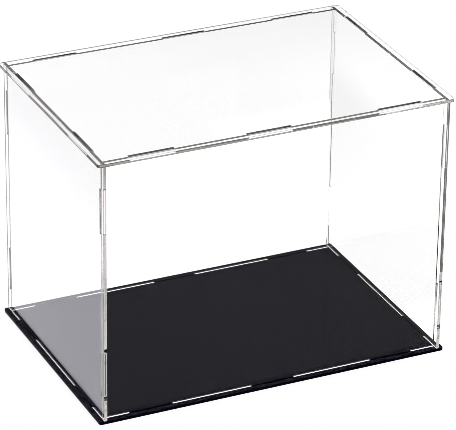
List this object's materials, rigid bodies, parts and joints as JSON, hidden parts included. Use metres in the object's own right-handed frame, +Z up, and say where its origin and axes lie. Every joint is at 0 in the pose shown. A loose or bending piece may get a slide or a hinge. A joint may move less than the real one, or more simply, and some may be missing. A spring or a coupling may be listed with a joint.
{
  "type": "football display case",
  "caption": "Rectangular flat-pack display case: clear tabbed panels and a mortised lid stand on a gloss black base plate, to show and keep dust off a football.",
  "frame": {"origin": "middle of the base plate's underside, on the surface that the case stands on", "axes": "+X along the length of the case, +Y from the front panel to the back panel, +Z up"},
  "size_m": [0.324, 0.2196, 0.2403],
  "materials": {
    "clear_acrylic": "clear cast sheet, polished faces and laser-cut edges",
    "black_acrylic": "black cast sheet, mirror gloss"
  },
  "bodies": {
    "base": {"base_plate": "black_acrylic"},
    "walls": {"front_panel": "clear_acrylic", "back_panel": "clear_acrylic", "left_panel": "clear_acrylic", "right_panel": "clear_acrylic"},
    "lid": {"top_panel": "clear_acrylic"}
  },
  "joints": [
    {"name": "cover_lift", "type": "slide", "parent": "base", "child": "walls", "axis": [0, 0, 1], "range_m": [0, 0.26]},
    {"name": "lid_lift", "type": "slide", "parent": "walls", "child": "lid", "axis": [0, 0, 1], "range_m": [0, 0.26]}
  ]
}
